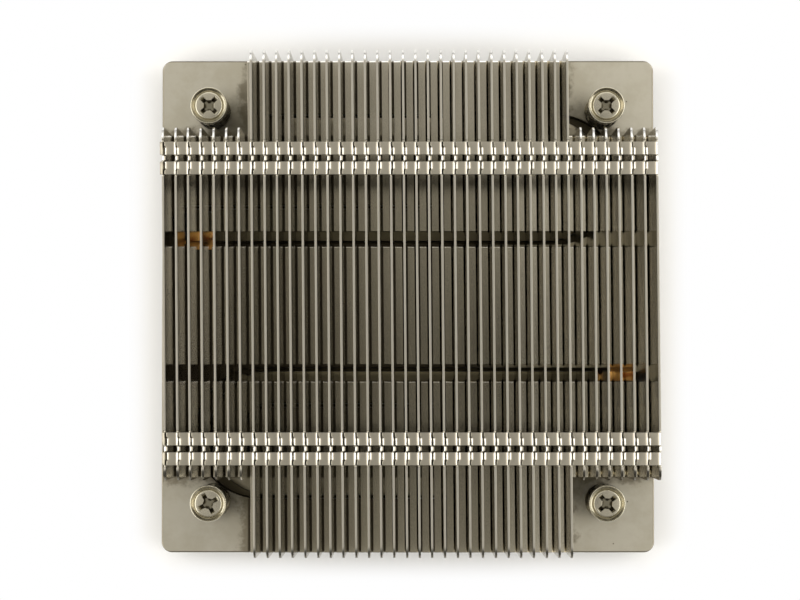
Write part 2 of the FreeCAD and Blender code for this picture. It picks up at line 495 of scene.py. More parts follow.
@dataclass(frozen=True)
class FinFinish(MetalFinish):
    """Plated strip, dull on its folded top, stained and painted with shade at its foot, with painted
    highlights on its bends and rear ends and painted shade on its front ends.
    """

    top_colour: str = "#928B7B"
    # Foot: solder stain and painted shade; its side and rear tones are painted light that lifts it there.
    foot_colour: str = "#857E6C"
    side_foot_lit_colour: str = "#B4AC98"
    rear_foot_lit_colour: str = "#989180"
    rear_span: Span = (28.0 * MM, 36.0 * MM)
    # Crease at the foot's fold: flux and painted shade; its side tone is painted light that lifts it there.
    root_colour: str = "#3F392B"
    side_root_lit_colour: str = "#B8AF98"
    side_middle_x: float = -6.0 * MM
    side_span: Span = (20.0 * MM, 34.0 * MM)
    # Painted highlight on the rear sheared corners, painted shade on the front ones, painted highlight on the
    # marked bends.
    rear_end_highlight_colour: str = "#F1EFE8"
    front_end_shade_colour: str = "#645E50"
    bend_highlight_colour: str = "#ECE8DE"
    top_roughness: float = 0.30
    top_levels: Span = (26.0 * MM, 26.6 * MM)
    foot_levels: Span = (5.6 * MM, 5.0 * MM)
    root_levels: tuple[Span, Span] = ((4.93 * MM, 4.97 * MM), (5.9 * MM, 5.3 * MM))
    step_span: Span = (30.9 * MM, 31.1 * MM)
    long_end_y: float = 47.5 * MM
    short_end_y: float = 33.0 * MM
    end_span: Span = (2.3 * MM, 1.6 * MM)
    end_levels: Span = (24.2 * MM, 24.8 * MM)

    def tint(self, tree: NodeTree, where: Source, colour: Source) -> Source:
        """Dull the folded top; stain the foot and paint shade on it and in its crease, lighter at the sides
        and rear as painted light; paint highlights on the bends and rear ends and shade on the front ends.
        """
        axes = add_node(tree, "SeparateXYZ", {"Vector": where}).outputs
        height = axes["Z"]
        aside = share_of(tree, (distance(tree, axes["X"], self.side_middle_x), *self.side_span))
        far = share_of(tree, (axes["Y"], *self.rear_span))
        # Painted light: the foot and crease are lighter at the sides and the rear.
        foot_tone = paint(
            tree, self.foot_colour, (aside, self.side_foot_lit_colour), (far, self.rear_foot_lit_colour))
        root_tone = paint(tree, self.root_colour, (aside, self.side_root_lit_colour))
        foot = share_of(tree, (height, *self.foot_levels))
        root = share_of(tree, *((height, *levels) for levels in self.root_levels))
        # The face mark for the painted highlights on bends, fingers and flange ends.
        bend = add_node(tree, "Attribute", attribute_name=PAINTED_HIGHLIGHT_MARK).outputs["Fac"]
        # Painted highlight on the rear corners and marked faces, painted shade on the front corners.
        return paint(
            tree, colour, (foot, foot_tone), (root, root_tone),
            (share_of(tree, (height, *self.top_levels)), self.top_colour),
            (self.corner(tree, axes, 1), self.rear_end_highlight_colour), (self.corner(tree, axes, -1), self.front_end_shade_colour),
            (bend, self.bend_highlight_colour))

    def corner(self, tree: NodeTree, axes: NodeOutputs, side: int) -> Node:
        """How far a place is on the sheared corner at a fin's end, to +Y or -Y by the side."""
        ends = (self.long_end_y, self.short_end_y)
        end = stretch(tree, distance(tree, axes["X"]), self.step_span, ends)
        gap = add_node(tree, "Math", {0: axes["Y"], 1: -side, 2: end}, operation="MULTIPLY_ADD")
        return share_of(tree, (gap, *self.end_span), (axes["Z"], *self.end_levels))

    def roughen(self, tree: NodeTree, where: Source, rough: Source) -> Source:
        """Roughen the folded top, which handling has scuffed."""
        height = add_node(tree, "SeparateXYZ", {"Vector": where}).outputs["Z"]
        top = share_of(tree, (height, *self.top_levels))
        return add_node(tree, "Mix", {0: top, 2: rough, 3: self.top_roughness})


@dataclass(frozen=True)
class PlateFinish(MetalFinish):
    """Nickel plate on copper, with flux stains and painted shade round and under the soldered fin stack,
    painted shade in its corners, rim and pockets, and a painted light gradient across it.
    """

    # Flux stain and painted shade along the foot of the fin stack.
    stain_and_shade_colour: str = "#5F5643"
    stain_and_shade_strength: float = 0.75
    stain_and_shade_reach: float = 2.2 * MM
    stain_and_shade_wander: float = 1.6 * MM
    stain_and_shade_grain: float = 3.0 * MM
    # Flux and painted shade under the fin stack, lighter to the right as painted light.
    flux_and_shade_colour: str = "#352F24"
    right_lit_flux_colour: str = "#A89E84"
    right_lit_flux_span: Span = (10.0 * MM, 32.0 * MM)
    copper_colour: str = "#CE9752"
    copper_middle: Span = (40.1 * MM, 12.7 * MM)
    copper_half: Span = (2.5 * MM, 1.7 * MM)
    copper_edge: Span = (1.05, 0.95)
    # Painted shade in the pipe pockets.
    pocket_shade_colour: str = "#3D3729"
    pocket_shade_levels: Span = (4.42 * MM, 4.25 * MM)
    pocket_shade_bounds: Span = (46.6 * MM, 46.4 * MM)
    # Painted light: a brightness gradient, darker towards the lower left.
    light_gradient_span: Span = (0.825, 1.0)
    light_gradient_way: tuple[float, float, float] = (0.81, 0.58, 0.0)
    light_gradient_reach: float = 60.0 * MM
    # Painted shade in the inner corners beside the screws.
    corner_shade_colour: str = "#3F3A2C"
    corner_shade_strength: float = 0.8
    corner_shade_span: Span = (10.5 * MM, 2.625 * MM)
    # Painted shade on the rounded outer rim.
    rim_shade_colour: str = "#7C7565"
    rim_shade_span: Span = (47.16 * MM, 47.33 * MM)
    under_span: Span = (0.1 * MM, -0.3 * MM)
    stack_middle_x: float = -0.25 * MM
    stack_half_x: float = 30.7 * MM
    stack_half_y: float = 33.0 * MM

    def tint(self, tree: NodeTree, where: Source, colour: Source) -> Source:
        """Paint a light gradient across the plate, stain it and paint shade round and under the fin stack,
        and paint shade in its inner corners, at its rim and in its pockets.
        """
        axes = add_node(tree, "SeparateXYZ", {"Vector": where}).outputs
        # Painted light gradient across the plate.
        along_light_gradient = add_node(tree, "VectorMath", {0: where, 1: self.light_gradient_way}, operation="DOT_PRODUCT")
        level = stretch(tree, along_light_gradient, (-self.light_gradient_reach, self.light_gradient_reach), self.light_gradient_span)
        light_graded = add_node(tree, "VectorMath", {0: colour, "Scale": level}, operation="SCALE")
        across = distance(tree, axes["X"], self.stack_middle_x)
        along = distance(tree, axes["Y"])
        past_x = add_node(tree, "Math", {0: across, 1: self.stack_half_x}, operation="SUBTRACT")
        past_y = add_node(tree, "Math", {0: along, 1: self.stack_half_y}, operation="SUBTRACT")
        gap = add_node(tree, "Math", {0: past_x, 1: past_y}, operation="MINIMUM")
        corner = add_node(tree, "CombineXYZ", {"X": past_x, "Y": past_y})
        away = add_node(tree, "VectorMath", {0: corner}, operation="LENGTH")
        wander = add_node(tree, "TexNoise", {
            "Vector": where, "Scale": per_size(self.stain_and_shade_grain), "Detail": 5.0, "Roughness": 0.65})
        shift = stretch(tree, wander, NOISE_SPAN, (-self.stain_and_shade_wander, self.stain_and_shade_wander))
        edge = add_node(tree, "Math", {0: gap, 1: shift}, operation="ADD")
        # Flux stain and painted shade near the stack's foot.
        stain = share_of(tree, (edge, self.stain_and_shade_reach, 0.0))
        stain = add_node(tree, "Math", {0: stain, 1: self.stain_and_shade_strength}, operation="MULTIPLY")
        # Painted shade round the inner corners.
        wavy = add_node(tree, "Math", {0: away, 1: shift}, operation="ADD")
        corner_shade = share_of(tree, (wavy, *self.corner_shade_span))
        corner_shade = add_node(tree, "Math", {0: corner_shade, 1: self.corner_shade_strength}, operation="MULTIPLY")
        # Flux and painted shade under the stack, lightened to the right as painted light.
        under = share_of(tree, (gap, *self.under_span))
        to_right = share_of(tree, (axes["X"], *self.right_lit_flux_span))
        flux = paint(tree, self.flux_and_shade_colour, (to_right, self.right_lit_flux_colour))
        outmost = add_node(tree, "Math", {0: distance(tree, axes["X"]), 1: along}, operation="MAXIMUM")
        # Painted shade at the rim and in the pockets.
        rim = share_of(tree, (outmost, *self.rim_shade_span))
        pocket = share_of(tree, (axes["Z"], *self.pocket_shade_levels), (outmost, *self.pocket_shade_bounds))
        return paint(
            tree, light_graded, (stain, self.stain_and_shade_colour), (corner_shade, self.corner_shade_colour), (under, flux),
            (rim, self.rim_shade_colour), (pocket, self.pocket_shade_colour),
            (self.nose_patch(tree, axes), self.copper_colour))

    def nose_patch(self, tree: NodeTree, axes: NodeOutputs) -> Node:
        """How far a place is on bare copper, beside the noses of the two pipes."""
        reaches = []
        for axis, middle, half in zip("XY", self.copper_middle, self.copper_half):
            far = distance(tree, distance(tree, axes[axis]), middle)
            reaches.append(add_node(tree, "Math", {0: far, 1: half}, operation="DIVIDE"))
        reach = add_node(tree, "Math", {0: reaches[0], 1: reaches[1]}, operation="MAXIMUM")
        inside = share_of(tree, (reach, *self.copper_edge))
        product = add_node(tree, "Math", {0: axes["X"], 1: axes["Y"]}, operation="MULTIPLY")
        own_side = add_node(tree, "Math", {0: product, 1: 0.0}, operation="LESS_THAN")
        return add_node(tree, "Math", {0: inside, 1: own_side}, operation="MULTIPLY")


@dataclass(frozen=True)
class PipeFinish(MetalFinish):
    """Nickel plate on a copper heat pipe, painted with shade in the slots and on its lower sides, stained and
    painted with shade under the fins, bare at its nose, with a painted reflection on its tip.
    """

    copper_colour: str = "#F2B766"
    tarnish_colour: str = "#A8602F"
    tarnish_size: float = 1.3 * MM
    tarnish_span: Span = (0.42, 0.62)
    # Painted shade in the foot slots and on the lower sides; flux and painted shade under the fins.
    slot_shade_colour: str = "#5A5340"
    flux_and_shade_colour: str = "#3A3528"
    side_shade_colour: str = "#454031"
    side_shade_levels: Span = (4.30 * MM, 4.05 * MM)
    # Painted blue-grey reflection on the rounded tip.
    tip_reflection_colour: str = "#6E7376"
    tip_reflection_span: Span = (42.2 * MM, 42.7 * MM)
    bare_span: Span = (36.3 * MM, 37.5 * MM)
    slot_end: Span = (14.2 * MM, 14.6 * MM)
    stack_end: Span = (32.8 * MM, 33.4 * MM)

    def tint(self, tree: NodeTree, where: Source, colour: Source) -> Source:
        """Paint shade on the pipe in the slots and on its lower sides, stain it and paint shade under the
        fins, bare its copper past the plated length, and paint a reflection on its tip.
        """
        axes = add_node(tree, "SeparateXYZ", {"Vector": where}).outputs
        reach = distance(tree, axes["X"])
        along = distance(tree, axes["Y"])
        open_end = share_of(tree, (along, *self.stack_end))
        bare = share_of(tree, (reach, *self.bare_span))
        patches = add_node(tree, "TexNoise", {
            "Vector": where, "Scale": per_size(self.tarnish_size), "Detail": 3.0})
        tarnish = share_of(tree, (patches, *self.tarnish_span))
        copper = paint(tree, self.copper_colour, (tarnish, self.tarnish_colour))
        past_slot = share_of(tree, (along, *self.slot_end))
        side = share_of(tree, (axes["Z"], *self.side_shade_levels))
        plain = add_node(tree, "Math", {0: 1.0, 1: bare}, operation="SUBTRACT")
        side = add_node(tree, "Math", {0: side, 1: plain}, operation="MULTIPLY")
        tip = share_of(tree, (reach, *self.tip_reflection_span))
        # Painted shade in the slots and on the lower sides, flux and painted shade under the fins, painted
        # reflection on the tip.
        return paint(
            tree, self.slot_shade_colour, (open_end, colour), (bare, copper), (past_slot, self.flux_and_shade_colour),
            (open_end, colour), (side, self.side_shade_colour), (tip, self.tip_reflection_colour))


@dataclass(frozen=True)
class ScrewFinish(MetalFinish):
    """Bright nickel on a screw, darker on the struck face, with painted shade in the recess."""

    face_colour: str = "#98917F"
    # Painted shade in the driver recess.
    recess_shade_colour: str = "#6F6958"
    face_levels: Span = (20.45 * MM, 20.48 * MM)
    face_edge: Span = (2.6 * MM, 2.5 * MM)
    recess_shade_levels: Span = (20.3 * MM, 19.9 * MM)
    recess_shade_edge: Span = (2.25 * MM, 2.15 * MM)
    flange_levels: Span = (17.9 * MM, 18.0 * MM)

    def tint(self, tree: NodeTree, where: Source, colour: Source) -> Source:
        """Darken the head's flat face and paint shade in its recess."""
        height = add_node(tree, "SeparateXYZ", {"Vector": where}).outputs["Z"]
        folded = add_node(tree, "VectorMath", {0: where}, operation="ABSOLUTE")
        axis = (SCREW_REACH, SCREW_REACH, 0)
        off = add_node(tree, "VectorMath", {0: folded, 1: axis}, operation="SUBTRACT")
        flat = add_node(tree, "VectorMath", {0: off, 1: (1, 1, 0)}, operation="MULTIPLY")
        radius = add_node(tree, "VectorMath", {0: flat}, operation="LENGTH")
        face = share_of(tree, (height, *self.face_levels), (radius, *self.face_edge))
        # Painted shade in the recess.
        recess_shade = share_of(
            tree, (height, *self.recess_shade_levels), (radius, *self.recess_shade_edge), (height, *self.flange_levels))
        return paint(tree, colour, (face, self.face_colour), (recess_shade, self.recess_shade_colour))


# Satin nickel plate over a milled copper plate: soft, warm grey reflections and
# a faint cloudiness from the bath, with specks of flux.
SATIN_NICKEL_PLATE = PlateFinish(
    name="satin_nickel_on_copper", colour="#B1AA98", cloud_colour="#A59E8B", roughness=0.32,
    roughness_spread=0.04, speck_share=0.10,
)
# Nickel-plated aluminium strip, 0.4 mm thick, soldered by its foot: painted
# highlights on the folds, painted shade at the foot, and duller on the rolled faces.
PLATED_FIN_SHEET = FinFinish(
    name="nickel_plated_fin_sheet", colour="#BAB3A1", cloud_colour="#A49D8B", roughness=0.18,
    roughness_spread=0.03, cloud_size=9.0 * MM, cloud_stretch=(3.8, 0.3, 1.0),
)
# Drawn copper pipe, flattened and dip plated: duller and greener than the plate,
# with the orange of the copper where the plating ends.
PLATED_PIPE = PipeFinish(
    name="plated_copper_heat_pipe", colour="#857D6A", cloud_colour="#6E6754", roughness=0.34,
    roughness_spread=0.06, speck_share=0.3,
)
# Barrel-plated bright nickel on steel: crisp highlights on the rims and recess.
BRIGHT_NICKEL_SCREW = ScrewFinish(
    name="bright_nickel_on_steel", colour="#BFB8A4", cloud_colour="#ADA792", roughness=0.24,
    roughness_spread=0.04, cloud_size=2.5 * MM,
)
# Cold-drawn spring wire: tight, streaky gloss.
DRAWN_SPRING_WIRE = MetalFinish(
    name="drawn_spring_wire", colour="#A5A298", cloud_colour="#8D8A80", roughness=0.28,
    roughness_spread=0.05, cloud_size=1.5 * MM,
)
# Stamped, oiled spring steel: dark grey with a soft sheen.
OILED_CLIP_STEEL = MetalFinish(
    name="oiled_spring_steel", colour="#77756F", cloud_colour="#605E58", roughness=0.38,
    roughness_spread=0.06, cloud_size=2.0 * MM,
)


def dress(obj: Object, material: Material) -> None:
    """Give a piece its one material."""
    obj.data.materials.clear()
    obj.data.materials.append(material)


def place_piece(obj: Object, body: str, slot: str, *nodes: str) -> None:
    """Tie a finished piece to its body and hide the CAD nodes that it stands for."""
    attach(obj, body)
    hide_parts(*nodes)
    LOG.info("%s: %d faces on %s", obj.name, len(obj.data.polygons), body)


# Sub-assemblies


@dataclass
class FinStack:
    """Forty folded fins that hook into each other by tabs, lips and fingers."""

    count: int = 40
    pitch: float = 2.365 * MM
    thickness: float = 0.4 * MM
    foot_level: float = 4.5 * MM
    top_level: float = 27.0 * MM
    long_length: float = 95.0 * MM
    short_length: float = 66.0 * MM
    left_x: float = -47.6 * MM
    short_each_side: int = 7
    skew: float = 0.5 * DEG
    corner_radius: float = 2.4 * MM
    corner_steps: int = 5
    neighbour_gap: float = 0.34 * MM
    tab_gap: float = 0.09 * MM
    foot_gaps: tuple[Span, ...] = ((-14.45 * MM, -11.2 * MM), (11.6 * MM, 14.5 * MM))
    lock_y: float = 27.1 * MM
    lock_gap: float = 1.3 * MM
    tab_width: float = 2.4 * MM
    lip_width: float = 1.4 * MM
    lip_relief: float = 0.2 * MM
    lip_drop: float = 1.2 * MM
    finger_width: float = 0.85 * MM
    finger_reach: float = 0.34 * MM
    stub_reach: float = 0.3 * MM
    notch_width: float = 0.35 * MM
    notch_depth: float = 0.8 * MM
    fold_radius: float = 0.5 * MM
    lip_radius: float = 0.34 * MM
    fold_steps: int = 3
    edge_round: float = 0.05 * MM
    flange_end_reach: float = 0.26 * MM
    flange_end_drop: float = 0.05 * MM
    # Painted highlights: the faint share on the top strip's edges, and which faces of the bends, fingers and
    # +Y flange ends get the full one.
    strip_highlight_share: float = 0.12
    strip_depth: float = 0.5 * MM
    shine_depth: float = 1.0 * MM
    shine_tilt: float = 0.25
    shine_turn: float = 0.3
    end_highlight_tilt: float = 0.15
    lean: float = 0.04 * MM
    lean_rhythm: Span = (1.7, 0.4)
    material: Material = field(default_factory=PLATED_FIN_SHEET.build)

    @property
    def half_t(self) -> float:
        """Half the sheet's thickness."""
        return 0.5 * self.thickness

    @property
    def tab_span(self) -> Span:
        """Where a tab starts and ends, from the middle of its interlock."""
        inner = 0.5 * self.lock_gap
        return (inner, inner + self.tab_width)

    def half_of(self, form: FinForm) -> float:
        """Half the length of a fin of a form."""
        return 0.5 * (self.long_length if form is FinForm.LONG else self.short_length)

    def form_of(self, index: int) -> FinForm:
        """Which form the fin at an index from the left has."""
        if index == 0:
            return FinForm.FIRST
        if index == self.count - 1:
            return FinForm.LAST
        if self.short_each_side <= index < self.count - self.short_each_side:
            return FinForm.LONG
        return FinForm.SHORT

    def lock_offset(self, y: float) -> float:
        """How far a place along the fin is from the middle of its nearer interlock."""
        return abs(abs(y) - self.lock_y)

    def rolled_ends(self, half: float) -> tuple[float, ...]:
        """Where the flange ends that face +Y are, on a fin of a half length."""
        return (*(low for low, high in self.foot_gaps), half)

    def in_foot_gap(self, y: float) -> bool:
        """Whether the foot flange is cut away at a place along the fin."""
        return any(low < y < high for low, high in self.foot_gaps)

    def blank(self, form: FinForm) -> Object:
        """Cut the flat sheet of one fin, with its corners and relief notches.

        Args:
            form: which fin it is.

        Returns:
            The open sheet in the YZ plane, standing on its fold line.
        """
        half = self.half_of(form)
        fold = self.foot_level + self.half_t
        height = self.top_level - fold
        notch_floor = self.top_level - self.notch_depth
        bpy.ops.mesh.primitive_plane_add(size=2.0, rotation=(0, 90 * DEG, 0))
        sheet = bpy.context.object
        sheet.name = "fin_pattern_" + form.value
        settle(sheet)
        inner, outer = self.tab_span
        offsets = [0.5 * self.finger_width, inner, inner + self.lip_width,
                   inner + self.lip_width + self.lip_relief, outer, outer + self.notch_width]
        stations = [side * (self.lock_y + way * offset)
                    for side in (-1, 1) for way in (-1, 1) for offset in offsets]
        stations += [end for gap in self.foot_gaps for end in gap]
        stations += [end - self.flange_end_reach for end in self.rolled_ends(half)]
        with edit_mode(sheet):
            select_all()
            grow((1, half, 0.5 * height), (0, 0, 0))
            move((0, 0, fold + 0.5 * height))
            slice_along_y(sorted(stations))
            select_all()
            bpy.ops.mesh.bisect(plane_co=(0, 0, notch_floor), plane_no=(0, 0, 1))
            for side in (-1, 1):
                middle_y = side * (half - self.corner_radius)
                centre = Vector((0, middle_y, self.top_level - self.corner_radius))
                for step in range(self.corner_steps):
                    turn = 90 * DEG * (step + 0.5) / self.corner_steps
                    way = Vector((0, side * math.cos(turn), math.sin(turn)))
                    rim = centre + self.corner_radius * way
                    select_all()
                    bpy.ops.mesh.bisect(plane_co=rim, plane_no=way, clear_outer=True)
            slits = ((0.5 * self.finger_width, inner), (outer, outer + self.notch_width))
            pick(sheet, Element.FACE, lambda middle, way: middle.z > notch_floor and any(
                low < self.lock_offset(middle.y) < high for low, high in slits))
            bpy.ops.mesh.delete(type="FACE")
        return sheet

    def fold(self, sheet: Object, form: FinForm) -> None:
        """Fold the foot flange, the tabs with their lips, and the fingers.

        Args:
            sheet: the flat blank.
            form: which fin it is.
        """
        half_t = self.half_t
        foot_fold = self.foot_level + half_t
        top_fold = self.top_level - half_t
        reach = self.pitch - self.neighbour_gap - half_t
        tab_reach = self.pitch - self.tab_gap - half_t
        inner, outer = self.tab_span

        def in_tab(y: float) -> bool:
            return inner < self.lock_offset(y) < outer

        def in_finger(y: float) -> bool:
            return self.lock_offset(y) < 0.5 * self.finger_width

        def on_top_fold(middle: Vector) -> bool:
            return abs(middle.z - top_fold) < CLOSE

        with edit_mode(sheet):
            pick_along_y(sheet, lambda middle: middle.z > self.top_level - CLOSE
                         and (in_tab(middle.y) or in_finger(middle.y)))
            move((0, 0, -half_t))
            pick_along_y(sheet, lambda middle: middle.z < foot_fold + CLOSE
                         and not self.in_foot_gap(middle.y))
            extrude((-reach, 0, 0))
            pick_along_y(sheet, lambda middle: on_top_fold(middle) and in_tab(middle.y))
            if form is FinForm.FIRST:
                extrude((-self.stub_reach - half_t, 0, 0))
            else:
                extrude((-tab_reach + half_t, 0, 0))
                self.fold_lips(sheet, tab_reach - half_t)
            if form is not FinForm.LAST:
                pick_along_y(sheet, lambda middle: on_top_fold(middle) and in_finger(middle.y)
                             and abs(middle.x) < CLOSE)
                extrude((self.finger_reach + half_t, 0, 0))
            self.round_folds(sheet, (foot_fold, top_fold), tab_reach - half_t)

    def fold_lips(self, sheet: Object, at: float) -> None:
        """Fold a lip down at the inner part of each tab's end, and lengthen the rest.

        Args:
            sheet: the fin that is open in edit mode.
            at: how far the tab's end is from the fin, to -X.
        """
        inner, _ = self.tab_span
        lip_end = inner + self.lip_width
        plain_start = lip_end + self.lip_relief
        high = self.top_level - self.thickness

        def at_end(middle: Vector) -> bool:
            return middle.z > high and middle.x < -0.99 * at

        pick_along_y(sheet, lambda middle: at_end(middle) and inner < self.lock_offset(middle.y) < lip_end)
        extrude((0, 0, -self.lip_drop - self.half_t))
        pick_along_y(sheet, lambda middle: at_end(middle) and self.lock_offset(middle.y) > plain_start)
        extrude((-self.half_t, 0, 0))

    def round_folds(self, sheet: Object, levels: Span, lip_x: float) -> None:
        """Round every fold line to the bend radius.

        Args:
            sheet: the fin that is open in edit mode.
            levels: the heights of the foot's and the tabs' fold lines.
            lip_x: how far the lips' fold line is from the fin, to -X.
        """
        foot_fold, top_fold = levels
        inner, outer = self.tab_span

        def on_fold(middle: Vector) -> bool:
            if abs(middle.x) >= CLOSE:
                return False
            if abs(middle.z - foot_fold) < CLOSE:
                return not self.in_foot_gap(middle.y)
            return abs(middle.z - top_fold) < CLOSE and self.lock_offset(middle.y) < outer

        def on_lip(middle: Vector) -> bool:
            return (abs(middle.z - top_fold) < CLOSE and abs(middle.x + lip_x) < CLOSE
                    and inner < self.lock_offset(middle.y) < inner + self.lip_width)

        for test, radius in ((on_fold, self.fold_radius), (on_lip, self.lip_radius)):
            pick_along_y(sheet, test)
            mesh = bmesh.from_edit_mesh(sheet.data)
            for edge in mesh.edges:
                if edge.select and len(edge.link_faces) < 2:
                    edge.select_set(False)
            bmesh.update_edit_mesh(sheet.data)
            bpy.ops.mesh.bevel(offset=radius, segments=self.fold_steps, affect="EDGES")

    def round_flange_ends(self, sheet: Object, form: FinForm) -> None:
        """Tip down the ends of the foot flange that face +Y, where the shears rolled them.

        Args:
            sheet: the solid fin.
            form: which fin it is.
        """
        ends = self.rolled_ends(self.half_of(form))
        upper = self.foot_level + self.thickness
        with edit_mode(sheet):
            pick(sheet, Element.EDGE, lambda middle, way: abs(way.x) > ALONG and middle.x < -self.fold_radius
                 and abs(middle.z - upper) < CLOSE and any(abs(middle.y - end) < CLOSE for end in ends))
            move((0, 0, -self.flange_end_drop))

    def pattern(self, form: FinForm) -> Object:
        """Model one fin of a form round the origin, ready to be copied."""
        sheet = self.blank(form)
        self.fold(sheet, form)
        finish_with(sheet, "SOLIDIFY", thickness=self.thickness, offset=0.0, use_even_offset=True)
        self.round_flange_ends(sheet, form)
        finish_with(sheet, "BEVEL", width=self.edge_round, segments=2, limit_method="ANGLE",
                    angle_limit=50 * DEG, use_clamp_overlap=False)
        with edit_mode(sheet):
            if pick(sheet, Element.POINT, lambda middle, way: middle.z > self.top_level):
                grow((1, 1, 0), (0, 0, self.top_level))
        smooth(sheet)
        self.mark_painted_highlights(sheet, form)
        dress(sheet, self.material)
        return sheet

    def mark_painted_highlights(self, fin: Object, form: FinForm) -> None:
        """Mark the faces that get painted highlights, for the finish to read: the bends and fingers at the
        top, the flange ends that face +Y, and faintly the edges of the top strip.

        Args:
            fin: the finished fin, standing at the origin.
            form: which fin it is.
        """
        mark = fin.data.attributes.new(PAINTED_HIGHLIGHT_MARK, "FLOAT", "FACE")
        _, tab_end = self.tab_span
        has_tabs = form is not FinForm.FIRST
        for face in fin.data.polygons:
            way, middle = face.normal, face.center
            offset = self.lock_offset(middle.y)
            tilted = way.z > self.shine_tilt
            bent = has_tabs and tilted and way.z < ALONG and abs(way.y) < self.shine_turn and offset < tab_end
            in_finger = tilted and offset < 0.6 * self.finger_width and middle.x < self.half_t
            at_top = middle.z > self.top_level - self.shine_depth and (bent or in_finger)
            # Painted highlight on the flange ends that face +Y, and a faint one on the top strip's edges.
            painted_end_highlight = (middle.z < self.foot_level + self.thickness
                          and min(way.y, way.z) > self.end_highlight_tilt)
            strip = tilted and middle.z > self.top_level - self.strip_depth and offset > tab_end
            mark.data[face.index].value = 1.0 if at_top or painted_end_highlight else self.strip_highlight_share * strip

    def place_of(self, index: int) -> Matrix:
        """Where the fin at an index stands, with the slight lean that folded fins have."""
        middle_x = self.left_x + (index + 1) * self.pitch - self.half_t
        turn = Matrix.Rotation(self.skew, 4, "Z")
        height = self.top_level - self.foot_level
        step, start = self.lean_rhythm
        lean = Matrix.Identity(4)
        lean[0][2] = self.lean * math.sin(step * index + start) / height
        lean[0][3] = -lean[0][2] * self.foot_level
        return Matrix.Translation((middle_x, 0, 0)) @ turn @ lean

    def build(self) -> None:
        """Model the four forms once and set a copy of one at each place."""
        patterns = {form: self.pattern(form) for form in FinForm}
        for index in range(self.count):
            number = "%02d" % (index + 1)
            fin = own_copy(patterns[self.form_of(index)], "fin_sheet_" + number, self.place_of(index))
            place_piece(fin, ROOT_BODY, "plated_fin", "fin_" + number)
        for pattern in patterns.values():
            remove(pattern)


@dataclass
class BasePlate:
    """The plated base plate with its pipe pockets and stepped screw holes."""

    half: float = 47.5 * MM
    corner_zone: float = 2.01 * MM
    sharp_deg: float = 40.0
    edge_round: float = 0.22 * MM
    edge_steps: int = 3
    pocket_round: float = 0.12 * MM
    pocket_steps: int = 2

    def build(self) -> None:
        """Round the plate's outer edges and break those of its pockets and holes."""
        plate = node_copy("base_plate", "base_plate_milled")
        inside = self.half - self.corner_zone

        def outer(middle: Vector, way: Vector) -> bool:
            return (abs(middle.x) > inside or abs(middle.y) > inside) and abs(way.z) < 0.5

        def inner(middle: Vector, way: Vector) -> bool:
            return not outer(middle, way) and abs(way.z) < 0.5

        rounds = ((outer, self.edge_round, self.edge_steps), (inner, self.pocket_round, self.pocket_steps))
        with edit_mode(plate):
            for test, width, steps in rounds:
                pick_sharp(plate, self.sharp_deg, test)
                bpy.ops.mesh.bevel(offset=width, segments=steps, affect="EDGES")
        smooth(plate)
        dress(plate, SATIN_NICKEL_PLATE.build())
        place_piece(plate, ROOT_BODY, "plated_base", "base_plate")


